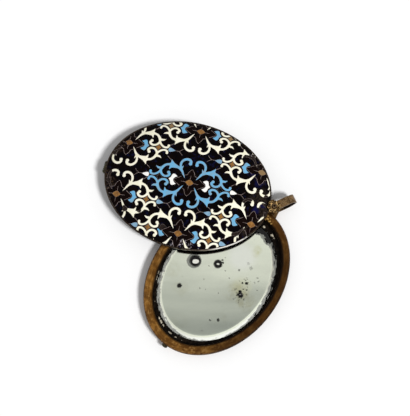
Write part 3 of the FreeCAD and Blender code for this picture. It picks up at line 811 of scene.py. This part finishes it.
def fillMesh(name, outline, grow):
    curve = bpy.data.curves.new(name, "CURVE")
    curve.dimensions = "2D"
    curve.fill_mode = "BOTH"
    curve.extrude = 1
    curve.resolution_u = crown["fillTurns"]
    spline = curve.splines.new("BEZIER")
    spline.use_cyclic_u = True
    spline.bezier_points.add(len(outline) - 1)
    middle = sum((Vector(p[:2]) for p in outline), Vector((0, 0))) / len(outline)
    for knot, (x, y, corner) in zip(spline.bezier_points, outline):
        out = Vector((x, y)) - middle
        out = out + out.normalized() * grow
        knot.co = (middle.x + out.x, middle.y + out.y, 0)
        knot.handle_left_type = knot.handle_right_type = "VECTOR" if corner else "AUTO"
    return cutGrid(drawnMesh(name, curve), crown["gridStep"])


def clipOval(work, halfLong, halfWide, planes):
    # keeps what lies inside the oval, by its tangent planes
    if all((v.co.x / halfLong) ** 2 + (v.co.y / halfWide) ** 2 < crown["inside"] for v in work.verts):
        return
    for k in range(planes):
        turn = math.tau * k / planes
        touch = Vector((halfLong * math.cos(turn), halfWide * math.sin(turn), 0))
        out = Vector((math.cos(turn) / halfLong, math.sin(turn) / halfWide, 0)).normalized()
        if any((v.co - touch).dot(out) > 0 for v in work.verts):
            cutBy(work, touch, out, clear_outer=True)
            weld(work)
            bmesh.ops.holes_fill(work, edges=[e for e in work.edges if e.is_boundary], sides=0)


# the two enamelled faces: the grounds, where the pattern's cells stand, and the surface they lie on
swing = Matrix.Translation(rivet) @ Matrix.Rotation(coverTurn, 4, "Z") @ Matrix.Translation(-rivet)
toMetres = Matrix.Scale(mm, 4)


def domeHeight(x, y):
    halfLong, halfWide, rise = coverFace["dome"]
    left = 1 - (x / halfLong) ** 2 - (y / halfWide) ** 2
    return coverFace["level"] + rise * math.sqrt(max(left, 0))


coverFace = {
    "cells": [
        (0.71, -0.12), (-0.46, 20.08), (1.54, -18.54), (-24.7, 9.6), (-23.7, -10.1),
        (24.75, 11.1), (25.7, -8.5),
    ],
    "tilt": 2.2, "oval": (30, 23), "ground": (30.1, 23.1), "dome": (31.37, 24.37, 5.6),
    "level": 4.655, "height": domeHeight, "side": 1, "depth": 0.26, "rings": 32, "spokes": 160,
    "lift": 0.004, "relief": 1, "place": toMetres @ swing, "body": "cover",
}
backFace = {
    "cells": [(0, 0), (0, 19.4), (0, -19.4), (-24.6, 9.7), (-24.6, -9.7), (24.6, 9.7), (24.6, -9.7)],
    "tilt": 0, "oval": (27.5, 20.5), "ground": (27.72, 20.72), "level": 0.032,
    "height": lambda x, y: backFace["level"], "side": -1, "depth": 0.31, "rings": 8, "spokes": 128,
    "lift": 0.004, "relief": 0.4, "place": toMetres, "body": "base",
}


def layOn(target, shape, centre, flips, kind, face):
    thick, lift = crown[kind]
    work = workOn(shape)
    work.transform(placed((*centre, 0), math.radians(face["tilt"]), (*flips, 1)))
    clipOval(work, *face["oval"], crown["planes"])
    if work.faces:
        for v in work.verts:
            proud = face["lift"] + lift + v.co.z * thick * face["relief"]
            v.co.z = face["height"](v.co.x, v.co.y) + face["side"] * proud
        if flips[0] * flips[1] * face["side"] < 0:
            bmesh.ops.reverse_faces(work, faces=work.faces)
        piece = bpy.data.meshes.new("laid")
        work.to_mesh(piece)
        target.from_mesh(piece)
        bpy.data.meshes.remove(piece)
    work.free()


def makePiece(name, work, finish, body, sharp=40):
    bmesh.ops.recalc_face_normals(work, faces=work.faces)
    for f in work.faces:
        f.smooth = True
    for e in work.edges:
        e.smooth = e.calc_face_angle(0) < math.radians(sharp)
    shape = workDone(work, bpy.data.meshes.new(name))
    piece = addObject(name, shape)
    shape.materials.append(finishes[finish])
    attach(piece, body)
    print("piece", name, len(shape.polygons), "faces")
    return piece


def addBalls(shape, balls, grow, segments):
    around, along = segments
    work = workOn(shape)
    for x, y, size in balls:
        where = Matrix.Translation((x, y, 0))
        bmesh.ops.create_uvsphere(work, u_segments=around, v_segments=along, radius=size + grow, matrix=where)
    workDone(work, shape)


def turnSection(work, steps):
    section = work.verts[:] + work.edges[:]
    bmesh.ops.spin(
        work, geom=section, axis=(0, 0, 1), cent=(0, 0, 0), angle=math.tau, steps=steps, use_merge=True
    )


def ovalSheet(halfLong, halfWide, rings, spokes):
    # a disc of rings that close up towards the edge
    work = bmesh.new()
    ray = work.edges.new((work.verts.new((0, 0, 0)), work.verts.new((1, 0, 0))))
    bmesh.ops.subdivide_edges(work, edges=[ray], cuts=rings - 1)
    for v in work.verts:
        v.co.x = math.sin(v.co.x * math.pi / 2)
    turnSection(work, spokes)
    weld(work, crown["seam"])
    bmesh.ops.scale(work, vec=(halfLong, halfWide, 1), verts=work.verts)
    return work


def thicken(work, depth):
    raised = bmesh.ops.extrude_face_region(work, geom=work.faces[:])["geom"]
    corners = [g for g in raised if isinstance(g, bmesh.types.BMVert)]
    bmesh.ops.translate(work, vec=(0, 0, depth), verts=corners)


def makeGround(name, face, node):
    work = ovalSheet(*face["ground"], face["rings"], face["spokes"])
    for v in work.verts:
        v.co.z = face["height"](v.co.x, v.co.y)
    thicken(work, -face["side"] * face["depth"])
    work.transform(face["place"])
    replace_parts(makePiece(name, work, "enamelGround", face["body"]), node)


quarters = [(1, 1), (-1, 1), (1, -1), (-1, -1)]
strokes = list(scroll["strokes"].values())
scrollShape = strokeMesh("scroll", strokes, 0, crown["strokeTurns"])
addBalls(scrollShape, scroll["balls"], 0, crown["ball"])
edgeShape = strokeMesh("edge", strokes, crown["edge"], crown["thinTurns"])
addBalls(edgeShape, scroll["balls"], crown["edge"], crown["edgeBall"])
lineShapes = {
    name: strokeMesh(name, scroll[name], 0, crown["thinTurns"]) for name in ("lines", "linesUp", "linesSide")
}
fillShapes = {name: fillMesh(name, outline, 0) for name, outline in fills.items()}
fillEdges = {name: fillMesh(name, fills[name], crown["edge"]) for name in ("wing", "lozenge", "drop", "eye")}

# what one cell lays down: how it is flipped, then colour (in the middle cell, elsewhere), shape, kind
layers = [
    (quarters, [
        ("Sky", "Cream", scrollShape, "stroke"),
        ("Wire", edgeShape, "strokeEdge"),
        ("Wire", lineShapes["lines"], "line"),
    ]),
    (quarters[:2], [
        ("White", "Sky", fillShapes["wing"], "fill"),
        ("White", "Pale", fillShapes["drop"], "fill"),
        ("Petal", "Amber", fillShapes["lozenge"], "fill"),
        ("Wire", fillEdges["wing"], "fillEdge"),
        ("Wire", fillEdges["lozenge"], "fillEdge"),
        ("Wire", fillEdges["drop"], "fillEdge"),
        ("Petal", fillShapes["petalSide"], "petal"),
        ("Wire", lineShapes["linesSide"], "line"),
    ]),
    (quarters[::2], [
        ("Petal", fillShapes["petalUp"], "petal"),
        ("Wire", lineShapes["linesUp"], "line"),
    ]),
    (quarters[:1], [
        ("Amber", fillShapes["eye"], "fill"),
        ("Wire", fillEdges["eye"], "fillEdge"),
    ]),
]


def ornament(prefix, face):
    colours = ("Cream", "Sky", "White", "Pale", "Amber", "Petal", "Wire")
    sheets = {colour: bmesh.new() for colour in colours}
    for index, centre in enumerate(face["cells"]):
        for turns, marks in layers:
            for flips in turns:
                for *options, shape, kind in marks:
                    colour = options[-1 if index else 0]
                    layOn(sheets[colour], shape, centre, flips, kind, face)
    for colour, sheet in sheets.items():
        sheet.transform(face["place"])
        finish = "wireCopper" if colour == "Wire" else "enamel" + colour
        makePiece(prefix + colour, sheet, finish, face["body"])


makeGround("coverGround", coverFace, "cover_enamel")
ornament("cover", coverFace)
makeGround("backGround", backFace, "back_enamel")
ornament("back", backFace)

# silvering: a thin oval sheet that lies in the foot of the glass
silverSheet = {"half": (24.56, 19.11), "low": 1.5, "high": 1.63, "rings": 6, "spokes": 128}


def makeSilver():
    work = ovalSheet(*silverSheet["half"], silverSheet["rings"], silverSheet["spokes"])
    bmesh.ops.translate(work, vec=(0, 0, silverSheet["low"]), verts=work.verts)
    thicken(work, silverSheet["high"] - silverSheet["low"])
    work.transform(toMetres)
    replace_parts(makePiece("silverSheet", work, "mirrorSilver", "base"), "mirror_silvering")


makeSilver()

# recess round the glass: crumbs of dark cement, and pale chips where it has flaked
recess = {
    "seed": 11, "path": (25.75, 19.45), "drift": (0.8, 0.15), "level": 2.3, "crumbs": 170,
    "sizes": (0.12, 0.3), "narrow": (0.6, 1), "flat": 0.6, "rough": (0.6, 1.25), "sharp": 25, "chipTall": 0.3,
    "chips": [
        (-24.15, 6.6, 0.85, 0.4, 60), (-24.75, 5.2, 1, 0.52, 66), (-25.25, 3.75, 0.7, 0.28, 72),
        (-25.72, 0.15, 0.85, 0.3, 90), (-25.63, -2.25, 0.4, 0.22, 100), (-12, 17.2, 1, 0.17, 24),
        (-13.8, 16.4, 1, 0.15, 27), (24.35, -5.75, 0.85, 0.6, 100), (23.9, -6.8, 0.4, 0.3, 110),
        (24.95, -1.45, 0.75, 0.45, 86), (-25.1, -4.6, 0.16, 0.12, 104), (-20.7, 11.4, 0.2, 0.12, 50),
    ],
}


def addCrumb(work, chance, place, turn, shape):
    middle = Vector(place)
    where = placed(middle, turn, shape)
    for v in bmesh.ops.create_icosphere(work, subdivisions=1, radius=1, matrix=where)["verts"]:
        v.co = middle + (v.co - middle) * chance.uniform(*recess["rough"])


def makeCrumbs():
    chance = random.Random(recess["seed"])
    dark, pale = bmesh.new(), bmesh.new()
    for k in range(recess["crumbs"]):
        turn = math.tau * (k + chance.random()) / recess["crumbs"]
        drift = chance.uniform(-1, 1)
        x = (recess["path"][0] + drift * recess["drift"][0]) * math.cos(turn)
        y = (recess["path"][1] + drift * recess["drift"][1]) * math.sin(turn)
        place = (x, y, recess["level"])
        size = chance.uniform(*recess["sizes"])
        shape = (size, size * chance.uniform(*recess["narrow"]), size * recess["flat"])
        addCrumb(dark, chance, place, chance.uniform(0, math.tau), shape)
    for x, y, along, across, turn in recess["chips"]:
        shape = (along, across, min(across, recess["chipTall"]))
        addCrumb(pale, chance, (x, y, recess["level"]), math.radians(turn), shape)
    for name, work, finish in (("cementCrumbs", dark, "cementDark"), ("cementChips", pale, "chipCream")):
        work.transform(toMetres)
        makePiece(name, work, finish, "base", recess["sharp"])


makeCrumbs()

# rosette: a cast flower of cupped petals, with a collar round the rivet's tip
rosette = {
    "plate": [(0.95, 7.1), (2.25, 7.1), (2.25, 7.3), (0.95, 7.4)], "plateSteps": 40,
    "seed": 5, "petals": 8, "ring": 1.92, "petal": 0.43, "wire": 0.21, "level": 7.64, "long": 1.1,
    "cup": 14, "cupSway": 8, "turnSway": 0.1, "uneven": 0.12,
    "collar": 1.18, "collarWire": 0.24, "collarLevel": 7.84, "sides": 8, "steps": 20,
}


def wireLoop(reach, wire, where):
    work = bmesh.new()
    upright = Matrix.Translation((reach, 0, 0)) @ Matrix.Rotation(math.pi / 2, 4, "X")
    bmesh.ops.create_circle(work, segments=rosette["sides"], radius=wire, matrix=upright)
    turnSection(work, rosette["steps"])
    work.transform(where)
    return workDone(work, bpy.data.meshes.new("loop"))


def makeRosette():
    chance = random.Random(rosette["seed"])
    work = bmesh.new()
    corners = [work.verts.new((x, 0, z)) for x, z in rosette["plate"]]
    for k, corner in enumerate(corners):
        work.edges.new((corner, corners[k - 1]))
    turnSection(work, rosette["plateSteps"])
    raised = Matrix.Translation((0, 0, rosette["collarLevel"]))
    loops = [wireLoop(rosette["collar"], rosette["collarWire"], raised)]
    sway, cupSway = rosette["turnSway"], rosette["cupSway"]
    for k in range(rosette["petals"]):
        turn = math.tau * (k + chance.uniform(-sway, sway)) / rosette["petals"]
        scale = 1 - chance.uniform(0, rosette["uneven"])
        cup = math.radians(rosette["cup"] + chance.uniform(-cupSway, cupSway))
        where = Matrix.Rotation(turn, 4, "Z") @ Matrix.Translation((rosette["ring"], 0, rosette["level"]))
        where = where @ Matrix.Rotation(cup, 4, "Y") @ Matrix.Diagonal((rosette["long"] * scale, scale, 1, 1))
        loops.append(wireLoop(rosette["petal"], rosette["wire"], where))
    for shape in loops:
        work.from_mesh(shape)
        bpy.data.meshes.remove(shape)
    work.transform(toMetres @ Matrix.Translation(rivet))
    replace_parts(makePiece("castRosette", work, "rosetteBrass", "base"), "rosette")


makeRosette()

# cast leaf on the bezel beside its lug: x, y, z, then the half sizes and the turn of each lobe
lugLeaf = {
    "lobes": [
        (27.55, -0.6, 4.8, 0.5, 0.85, 0.3, 6), (27.85, 0.65, 4.82, 0.45, 0.6, 0.29, -14),
        (27.3, -1.85, 4.75, 0.48, 0.65, 0.34, 14), (26.95, -0.2, 4.45, 0.34, 0.55, 0.45, -20),
        (27, -2.9, 4.72, 0.36, 0.5, 0.36, 20), (28.45, -0.2, 4.84, 0.36, 0.5, 0.26, 24),
        (28.3, -1.4, 4.84, 0.34, 0.5, 0.26, -8),
    ],
    "around": 14, "along": 8,
}


def makeLugLeaf():
    work = bmesh.new()
    for x, y, z, wide, deep, tall, turn in lugLeaf["lobes"]:
        where = placed((x, y, z), math.radians(turn), (wide, deep, tall))
        bmesh.ops.create_uvsphere(
            work, u_segments=lugLeaf["around"], v_segments=lugLeaf["along"], radius=1, matrix=where
        )
    work.transform(toMetres)
    makePiece("lugLeaf", work, "giltBrass", "base")


makeLugLeaf()

# floor, lamp, surroundings
studio = {
    "floor": (0.97, 0.97, 0.97), "reach": 4, "floorCuts": 4, "grain": 3, "matt": 0.9, "mattGrain": 0.05,
    "around": 0.39, "ceiling": 0.28, "ceilingFrom": (0.955, 0.984),
    "sun": 0.84, "sunSpread": 13, "sunTurn": -86, "sunHeight": 53,
}


def studioFloor():
    work = bmesh.new()
    cuts = studio["floorCuts"]
    bmesh.ops.create_grid(work, x_segments=cuts, y_segments=cuts, size=studio["reach"])
    shape = workDone(work, bpy.data.meshes.new("studioFloor"))
    floor = addObject("studioFloor", shape)
    finish, place = startFinish("floorWhite")
    rough = studio["matt"] + clouds(place, studio["grain"], 2) * studio["mattGrain"]
    sockets = {"Base Color": studio["floor"], "Roughness": rough, "Specular IOR Level": 0}
    shape.materials.append(endFinish(finish, sockets))


def studioLight():
    world = bpy.data.worlds.new("studioWorld")
    bpy.context.scene.world = world
    world.use_nodes = True
    world.node_tree.nodes.clear()
    root = Wire(world.node_tree)
    rays = ("Is Camera Ray", "Is Glossy Ray", "Is Transmission Ray")
    camera, shiny, clear = (root.node("LightPath", out=ray) for ray in rays)
    facing = root.node("TexCoord", out="Generated")
    above = axisOf(facing, 2).between(*studio["ceilingFrom"])
    mirrored = shiny.larger(clear) * (1 - above * studio["ceiling"])
    strength = camera.larger(mirrored).larger(studio["around"])
    glow = root.node("Background", {"Color": (1, 1, 1), "Strength": strength})
    root.node("OutputWorld", {"Surface": glow})
    lamp = bpy.data.lights.new("studioSun", "SUN")
    lamp.energy = studio["sun"] * math.pi
    lamp.angle = math.radians(studio["sunSpread"])
    sun = addObject("studioSun", lamp)
    sun.visible_glossy = False  # the white surroundings give the gloss
    sun.visible_transmission = False
    sun.rotation_mode = "QUATERNION"
    sun.rotation_quaternion = direction(studio["sunTurn"], studio["sunHeight"]).to_track_quat("Z", "Y")


studioFloor()
studioLight()

# camera at the photograph's angle
shot = {
    "target": (17.15, 19.76, 0), "away": 300, "turn": -140.4, "height": 76.9, "lens": 70.93, "sensor": 36,
    "near": 0.005,
}


def takeShot():
    data = bpy.data.cameras.new("shot")
    data.lens = shot["lens"]
    data.sensor_width = shot["sensor"]
    data.clip_start = shot["near"]
    camera = addObject("shot", data)
    back = direction(shot["turn"], shot["height"])
    camera.location = (Vector(shot["target"]) + back * shot["away"]) * mm
    camera.rotation_mode = "QUATERNION"
    camera.rotation_quaternion = (-back).to_track_quat("-Z", "Y")
    bpy.context.scene.camera = camera


takeShot()
bpy.context.scene.view_settings.view_transform = "Standard"
print("studio and camera set")
